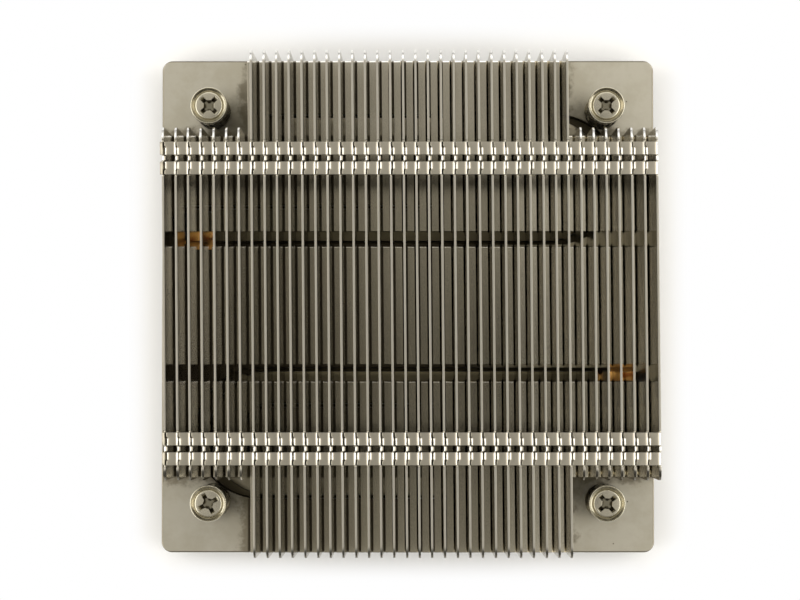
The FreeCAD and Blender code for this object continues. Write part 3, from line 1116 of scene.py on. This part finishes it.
@dataclass
class HeatPipes:
    """Two flattened U-shaped heat pipes, the second turned half round."""

    width: float = 6.4 * MM
    thickness: float = 3.0 * MM
    middle_z: float = 3.0 * MM
    leg_y: float = -15.7 * MM
    spacing: float = 17.6 * MM
    bend_x: float = -26.3 * MM
    nose_x: float = 44.2 * MM
    tail_x: float = 26.0 * MM
    neck: Span = (37.2 * MM, 38.8 * MM)
    neck_depth: float = 0.7 * MM
    tip_size: float = 0.06
    tip_flatness: float = 0.6
    press: float = 8.0
    stub_place: tuple[float, float, float] = (37.4 * MM, -12.65 * MM, 4.35 * MM)
    stub_radius: float = 0.72 * MM
    section_steps: int = 24
    bend_steps: int = 32
    end_steps: int = 6

    def section(self) -> Object:
        """Make the flattened ring of the pipe's section in the YZ plane, pressed flatter on top."""
        flat = 0.5 * (self.width - self.thickness)
        radius = 0.5 * self.thickness
        bpy.ops.mesh.primitive_circle_add(
            vertices=self.section_steps, radius=radius, rotation=(0, 90 * DEG, 0))
        ring = bpy.context.object
        ring.name = "heat_pipe_front_tube"
        settle(ring)
        for point in ring.data.vertices:
            if point.co.z > 0:
                across, up = abs(point.co.y) / radius, point.co.z / radius
                point.co *= (across ** self.press + up ** self.press) ** (-1 / self.press)
        with edit_mode(ring):
            for side in (-1, 1):
                pick(ring, Element.POINT, lambda middle, way: side * middle.y > CLOSE)
                move((0, side * flat, 0))
        return ring

    def end_cap(self, centre: Vector, way: int, opening: bool) -> None:
        """Draw the open ring in to a rounded end, or out from one.

        Args:
            centre: the middle of the ring where the pipe has its full section.
            way: +1 or -1, where the pipe's end points along X.
            opening: start at the tip and widen, instead of closing.
        """
        radius = 0.5 * self.width
        turns = [90 * DEG * step / self.end_steps for step in range(self.end_steps + 1)]
        rings = [(radius * math.sin(turn), max(math.cos(turn), self.tip_size)) for turn in turns]
        if opening:
            rings.reverse()
        for (reach, size), (next_reach, next_size) in zip(rings, rings[1:]):
            extrude((way * (next_reach - reach), 0, 0))
            middle = centre + Vector((way * next_reach, 0, 0))
            ratio = next_size / size
            grow((1, ratio, ratio ** self.tip_flatness), middle)

    def front(self) -> Object:
        """Model the front pipe from its nose round the bend to its short end."""
        radius = 0.5 * self.width
        pipe = self.section()
        start = Vector((self.nose_x - radius, self.leg_y, self.middle_z))
        nose = start + Vector((radius, 0, 0))
        with edit_mode(pipe):
            select_all()
            move(nose)
            grow((1, self.tip_size, self.tip_size ** self.tip_flatness), nose)
            self.end_cap(start, 1, opening=True)
            neck_middle = 0.5 * (self.neck[0] + self.neck[1])
            narrow = 1 - 2 * self.neck_depth / self.width
            stops = [(self.neck[1], 1.0), (neck_middle, narrow), (self.neck[0], 1.0 / narrow),
                     (self.bend_x, 1.0)]
            here = start.x
            for there, size in stops:
                extrude((there - here, 0, 0))
                grow((1, size, 1), (there, self.leg_y, self.middle_z))
                here = there
            bend = (self.bend_x, self.leg_y - 0.5 * self.spacing, self.middle_z)
            bpy.ops.mesh.spin(steps=self.bend_steps, angle=-math.pi, center=bend, axis=(0, 0, 1))
            low = Vector((self.tail_x - radius, self.leg_y - self.spacing, self.middle_z))
            extrude((low.x - self.bend_x, 0, 0))
            self.end_cap(low, 1, opening=False)
            merge_all()
            bpy.ops.mesh.fill_holes(sides=0)
            face_outwards()
        smooth(pipe, 40)
        return pipe

    def add_stub(self, pipe: Object) -> None:
        """Add the round stub by which the front pipe was filled and sealed."""
        bpy.ops.mesh.primitive_uv_sphere_add(
            segments=24, ring_count=14, radius=self.stub_radius, location=self.stub_place)
        stub = bpy.context.object
        settle(stub)
        smooth(stub)
        dress(stub, pipe.active_material)
        take_alone(pipe)
        stub.select_set(True)
        bpy.ops.object.join()

    def build(self) -> None:
        """Make both pipes and lay them in their pockets."""
        material = PLATED_PIPE.build()
        front = self.front()
        dress(front, material)
        rear = own_copy(front, "heat_pipe_rear_tube", Matrix.Rotation(math.pi, 4, "Z"))
        self.add_stub(front)
        place_piece(front, ROOT_BODY, "plated_pipe", "heat_pipe_front")
        place_piece(rear, ROOT_BODY, "plated_pipe", "heat_pipe_rear")


@dataclass
class CaptiveScrew:
    """One spring screw: its turned body, its driver recess, its coil and its ring."""

    number: int
    place: Vector
    recess_turn: float
    tip: float = -3.5 * MM
    head_top: float = 20.5 * MM
    flange_r: float = 3.45 * MM
    flange_low: float = 17.5 * MM
    collar_top: float = 20.85 * MM
    collar_wall: float = 0.17 * MM
    collar_edge: float = 0.14 * MM
    dish: tuple[Span, ...] = (
        (2.98 * MM, 20.5 * MM), (2.68 * MM, 20.3 * MM), (2.62 * MM, 20.2 * MM))
    face_r: float = 2.62 * MM
    face_edge: float = 0.22 * MM
    face_drop: float = 0.03 * MM
    face_ring: float = 0.4 * MM
    chamfer: float = 0.1 * MM
    point: float = 0.3 * MM
    thread_runout: Span = (0.35 * MM, 0.3 * MM)
    shoulder_r: float = 2.3 * MM
    thread_r: float = 2.0 * MM
    thread_root_r: float = 1.62 * MM
    thread_pitch: float = 0.7 * MM
    thread_start: float = 0.12 * MM
    thread_sunk: float = 0.1 * MM
    thread_turns: float = 4.1
    thread_steps: int = 36
    groove_r: float = 1.75 * MM
    groove_z: Span = (0.25 * MM, 0.85 * MM)
    turn_steps: int = 72
    recess_apothem: float = 0.98 * MM
    recess_break: float = 0.08 * MM
    recess_reach: float = 2.15 * MM
    sharp_deg: float = 30.0
    clip_round: float = 0.07 * MM
    recess_levels: tuple[Span, ...] = (
        (0.02 * MM, 2.08 * MM), (-0.3 * MM, 1.75 * MM), (-1.5 * MM, 1.05 * MM))
    wire: float = 0.8 * MM
    coil_r: float = 2.95 * MM
    coil_z: Span = (4.95 * MM, 17.05 * MM)
    active_turns: float = 4.0
    closed_turns: float = 0.75
    closed_pitch: float = 0.85 * MM
    coil_steps: int = 24

    def profile(self) -> list[Span]:
        """The screw's outline from its tip to the top of its head, as (radius, height)."""
        flange = self.flange_low
        foot, shoulder = self.groove_z
        root, edge = self.thread_root_r, self.chamfer
        start, full = self.thread_runout
        points = [(0, self.tip), (root - self.point, self.tip), (root, self.tip + self.point)]
        points += [(root, foot - start), (self.thread_r, foot - full), (self.thread_r, foot),
                   (self.groove_r, foot), (self.groove_r, shoulder), (self.shoulder_r - edge, shoulder),
                   (self.shoulder_r, shoulder + edge), (self.shoulder_r, flange)]
        points += [(self.flange_r - edge, flange), (self.flange_r, flange + edge)]
        points += self.rounded(self.flange_r, self.collar_top, self.collar_edge, 3)
        points += [(self.flange_r - self.collar_wall, self.collar_top), *self.dish]
        points += self.rounded(self.face_r, self.head_top - self.face_drop, self.face_edge, 4)
        points += [(self.face_r - self.face_ring, self.head_top), (0, self.head_top)]
        return points

    @staticmethod
    def rounded(radius: float, top: float, corner: float, steps: int) -> list[Span]:
        """A round outer corner of a turned profile, from its side to its top."""
        turns = [90 * DEG * step / steps for step in range(steps + 1)]
        return [(radius - corner * (1 - math.cos(turn)), top - corner * (1 - math.sin(turn)))
                for turn in turns]

    def cutter(self) -> Object:
        """Model the cross-shaped driver recess as a tapered plug."""
        over, reach = self.recess_levels[0]
        half_side = 22.5 * DEG
        bpy.ops.mesh.primitive_circle_add(
            vertices=8, radius=self.recess_apothem / math.cos(half_side), fill_type="NGON",
            location=(0, 0, self.head_top + over), rotation=(0, 0, half_side))
        plug = bpy.context.object
        settle(plug)
        with edit_mode(plug):
            for quarter in range(4):
                way = Matrix.Rotation(quarter * 90 * DEG, 3, "Z") @ Vector((1, 0, 0))
                near = 0.98 * self.recess_apothem
                pick(plug, Element.EDGE, lambda middle, along: middle.dot(way) > near
                     and abs(along.dot(way)) < 0.1 and middle.xy.length < 1.1 * self.recess_apothem)
                extrude(way * (reach - self.recess_apothem))
            select_all()
            for (here, size), (there, next_size) in zip(self.recess_levels, self.recess_levels[1:]):
                extrude((0, 0, there - here))
                ratio = next_size / size
                grow((ratio, ratio, 1), (0, 0, self.head_top + there))
            face_outwards()
            bpy.ops.transform.rotate(value=-self.recess_turn, orient_axis="Z", center_override=(0, 0, 0))
        return plug

    def thread(self) -> Object:
        """Model the thread as one helical ridge on the screw's core."""
        low = self.tip + self.thread_start
        pitch, root = self.thread_pitch, self.thread_root_r
        sunk = root - self.thread_sunk
        steps = int(self.thread_turns * self.thread_steps)
        ridge = [(sunk, 0), (root, 0), (self.thread_r, 0.42 * pitch), (self.thread_r, 0.56 * pitch),
                 (root, 0.98 * pitch), (sunk, 0.98 * pitch)]
        bpy.ops.mesh.primitive_circle_add(vertices=len(ridge), radius=0.5 * pitch, fill_type="NOTHING")
        coil = bpy.context.object
        coil.name = "thread_ridge"
        for point, (radius, height) in zip(coil.data.vertices, ridge):
            point.co = (radius, 0, low + height)
        finish_with(coil, "SCREW", angle=self.thread_turns * 2 * math.pi, steps=steps, render_steps=steps,
                    screw_offset=self.thread_turns * pitch, use_merge_vertices=False)
        with edit_mode(coil):
            select_all()
            bpy.ops.mesh.fill_holes(sides=0)
            face_outwards()
        return coil

    def body(self, material: Material) -> Object:
        """Turn the screw, cut its recess and add its thread."""
        screw = turned("screw_turned_%d" % self.number, self.profile(), self.turn_steps)
        plug = self.cutter()
        finish_with(screw, "BOOLEAN", object=plug, operation="DIFFERENCE", solver="EXACT")
        remove(plug)
        with edit_mode(screw):
            pick_sharp(screw, self.sharp_deg, lambda middle, way: middle.z > self.head_top - CLOSE
                       and abs(way.z) < 0.1 and middle.xy.length < self.recess_reach)
            bpy.ops.mesh.bevel(offset=self.recess_break, segments=1, affect="EDGES", clamp_overlap=True)
        ridge = self.thread()
        take_alone(screw)
        ridge.select_set(True)
        bpy.ops.object.join()
        smooth(screw, 30)
        screw.data.transform(Matrix.Translation(self.place))
        dress(screw, material)
        return screw

    def rise(self, turns: float) -> float:
        """The spring wire's height above its start after some turns."""
        total = self.coil_z[1] - self.coil_z[0]
        closed = self.closed_turns * self.closed_pitch
        if turns <= self.closed_turns:
            return turns * self.closed_pitch
        active = turns - self.closed_turns
        if active <= self.active_turns:
            return closed + (total - 2 * closed) * active / self.active_turns
        return total - closed + (active - self.active_turns) * self.closed_pitch

    def coil(self, material: Material) -> Object:
        """Wind the round-wire spring and make it a mesh."""
        turns = self.active_turns + 2 * self.closed_turns
        count = int(turns * self.coil_steps) + 1
        bpy.ops.curve.primitive_nurbs_path_add()
        path = bpy.context.object
        path.name = "spring_coil_%d" % self.number
        path.data.splines.clear()
        line = path.data.splines.new("POLY")
        line.points.add(count - 1)
        for step, point in enumerate(line.points):
            made = step / self.coil_steps
            angle = 2 * math.pi * made
            x = self.place.x + self.coil_r * math.cos(angle)
            y = self.place.y + self.coil_r * math.sin(angle)
            point.co = (x, y, self.coil_z[0] + self.rise(made), 1)
        path.data.bevel_depth = 0.5 * self.wire
        path.data.bevel_resolution = 3
        path.data.use_fill_caps = True
        take_alone(path)
        bpy.ops.object.convert(target="MESH")
        smooth(path, 50)
        dress(path, material)
        return path

    def build(self, screw_finish: Material, wire_finish: Material,
              clip_finish: Material) -> None:
        """Make the screw, its spring and its retaining ring; the screw and the ring go on the screw's body.

        Args:
            screw_finish: the screw's material.
            wire_finish: the spring's material.
            clip_finish: the ring's material.
        """
        number = str(self.number)
        place_piece(self.body(screw_finish), "screw_body_" + number, "plated_screw", "screw_" + number)
        spring = self.coil(wire_finish)
        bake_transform(spring)
        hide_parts("spring_" + number)
        clip = node_copy("clip_" + number, "clip_stamped_" + number)
        finish_with(clip, "BEVEL", width=self.clip_round, segments=2, limit_method="ANGLE",
                    angle_limit=50 * DEG)
        smooth(clip)
        dress(clip, clip_finish)
        place_piece(clip, "screw_body_" + number, "clip_steel", "clip_" + number)


@dataclass
class Studio:
    """Plain pale floor, soft light and the camera of the photograph."""

    camera_place: Vector = field(default_factory=lambda: Vector((1.3 * MM, -15.0 * MM, 618.5 * MM)))
    camera_aim: Vector = field(default_factory=lambda: Vector((-1.5 * MM, 1.2 * MM, 4.5 * MM)))
    lens: float = 143.0
    sensor: float = 36.0
    floor_size: float = 6.0
    shade_half: float = 50.5 * MM
    shade_middle: Span = (0.15 * MM, 1.15 * MM)
    shade_corner: float = 6.0 * MM
    shade_span: Span = (-1.5 * MM, 4.5 * MM)
    fill_strength: float = 0.6
    wall_level: float = 0.12
    wall_aside: Span = (0.70, 0.45)
    wall_rise: Span = (0.82, 0.62)
    wall_tilt: float = 0.45
    lens_radius: float = 48.0 * MM
    lens_level: float = 640.0 * MM
    # each softbox: its name, place, size and power
    softboxes: tuple[tuple[str, Place, Span, float], ...] = (
        ("left_softbox", (-0.42, 0.0, 0.26), (0.50, 0.70), 2.6),
        ("right_softbox", (0.42, 0.0, 0.26), (0.50, 0.70), 2.6),
        ("top_softbox", (0.0, 0.58, 0.80), (0.60, 0.55), 1.0),
    )

    def camera(self) -> None:
        """Look straight down, a little from the foot of the photograph."""
        bpy.ops.object.camera_add(location=self.camera_place)
        camera = bpy.context.object
        back = (self.camera_place - self.camera_aim).normalized()
        right = Vector((0, 1, 0)).cross(back).normalized()
        up = back.cross(right)
        camera.rotation_euler = Matrix((right, up, back)).transposed().to_euler()
        camera.data.lens = self.lens
        camera.data.sensor_width = self.sensor
        camera.data.clip_start = 0.01
        camera.data.clip_end = 20.0
        bpy.context.scene.camera = camera

    def floor(self) -> None:
        """A pale floor that the screws' tips stand on, white to the camera."""
        bpy.ops.mesh.primitive_plane_add(size=self.floor_size, location=(0, 0, CAD_BOX[0][2] - CLOSE))
        plane = bpy.context.object
        plane.name = "studio_floor"
        material = bpy.data.materials.new("pale_studio_paper")
        tree = empty_tree(material)
        where = add_node(tree, "TexCoord").outputs["Object"]
        middle = (*self.shade_middle, 0)
        off = add_node(tree, "VectorMath", {0: where, 1: middle}, operation="SUBTRACT")
        folded = add_node(tree, "VectorMath", {0: off}, operation="ABSOLUTE")
        inner = self.shade_half - self.shade_corner
        past = add_node(tree, "VectorMath", {0: folded, 1: (inner, inner, 1.0)}, operation="SUBTRACT")
        past = add_node(tree, "VectorMath", {0: past, 1: (0, 0, 0)}, operation="MAXIMUM")
        reach = add_node(tree, "VectorMath", {0: past}, operation="LENGTH")
        low, high = (self.shade_corner + end for end in self.shade_span)
        open_floor = share_of(tree, (reach, low, high))
        share = add_node(tree, "Math", {0: seen_share(tree), 1: open_floor}, operation="MULTIPLY")
        paper = add_node(tree, "BsdfDiffuse", {"Color": linear("#F2F1EE")})
        glow = add_node(tree, "Emission", {"Color": linear("#FFFFFF"), "Strength": 1.0})
        both = add_node(tree, "MixShader", {0: share, 1: paper, 2: glow})
        add_node(tree, "OutputMaterial", {"Surface": both})
        dress(plane, material)

    def world(self) -> None:
        """White to the camera and overhead in reflections, dim low down fore and aft, with a warm fill."""
        world = bpy.data.worlds.new("soft_studio")
        tree = empty_tree(world)
        way = add_node(tree, "TexCoord").outputs["Generated"]
        axes = add_node(tree, "SeparateXYZ", {"Vector": way}).outputs
        rise = add_node(tree, "Math", {0: axes["Y"], 1: self.wall_tilt, 2: axes["Z"]},
                        operation="MULTIPLY_ADD")
        dim = share_of(tree, (distance(tree, axes["X"]), *self.wall_aside), (rise, *self.wall_rise))
        glossy = add_node(tree, "LightPath").outputs["Is Glossy Ray"]
        dim = add_node(tree, "Math", {0: dim, 1: glossy}, operation="MULTIPLY")
        level = add_node(tree, "MapRange", {"Value": dim, "To Min": 1.0, "To Max": self.wall_level})
        fill = add_node(tree, "Background", {"Color": linear("#FFFCF6"), "Strength": self.fill_strength})
        white = add_node(tree, "Background", {"Color": linear("#FFFFFF"), "Strength": level})
        both = add_node(tree, "MixShader", {0: seen_share(tree), 1: fill, 2: white})
        add_node(tree, "OutputWorld", {"Surface": both})
        bpy.context.scene.world = world

    def light(self, name: str, place: Vector, size: Span, power: float) -> None:
        """Add one soft rectangular light that points at the part.

        Args:
            name: the light's name.
            place: where it hangs.
            size: its width and height.
            power: its power in watts.
        """
        bpy.ops.object.light_add(type="AREA", location=place)
        lamp = bpy.context.object
        lamp.name = name
        lamp.rotation_euler = place.to_track_quat("Z", "Y").to_euler()
        lamp.data.shape = "RECTANGLE"
        lamp.data.size, lamp.data.size_y = size
        lamp.data.energy = power

    def lens_shade(self) -> None:
        """The dark disc of the camera's own lens, for the deep bays to reflect."""
        place = (self.camera_place.x, self.camera_place.y, self.lens_level)
        bpy.ops.mesh.primitive_circle_add(
            vertices=48, radius=self.lens_radius, fill_type="NGON", location=place)
        shade = bpy.context.object
        shade.name = "studio_lens_shade"
        settle(shade)
        shade.visible_camera = False
        material = bpy.data.materials.new("matt_black_lens")
        tree = empty_tree(material)
        black = add_node(tree, "BsdfDiffuse", {"Color": linear("#080808")})
        add_node(tree, "OutputMaterial", {"Surface": black})
        dress(shade, material)

    def build(self) -> None:
        """Set up the floor, world, lights and camera."""
        self.floor()
        self.world()
        for name, place, size, power in self.softboxes:
            self.light(name, Vector(place), size, power)
        self.lens_shade()
        self.camera()
        bpy.context.scene.view_settings.view_transform = "Standard"


def main() -> None:
    """Build the heatsink's pieces in order and the studio round them."""
    logging.basicConfig(level=logging.INFO, format="%(name)s: %(message)s")
    BasePlate().build()
    HeatPipes().build()
    FinStack().build()
    screw_finish = BRIGHT_NICKEL_SCREW.build()
    wire_finish = DRAWN_SPRING_WIRE.build()
    clip_finish = OILED_CLIP_STEEL.build()
    screws = ((-1, 1, 45.0), (1, 1, 44.0), (-1, -1, 28.0), (1, -1, 40.0))
    for number, (side, end, turn) in enumerate(screws, start=1):
        screw = CaptiveScrew(number, SCREW_REACH * Vector((side, end, 0)), turn * DEG)
        screw.build(screw_finish, wire_finish, clip_finish)
    Studio().build()


if __name__ == "__main__":
    main()
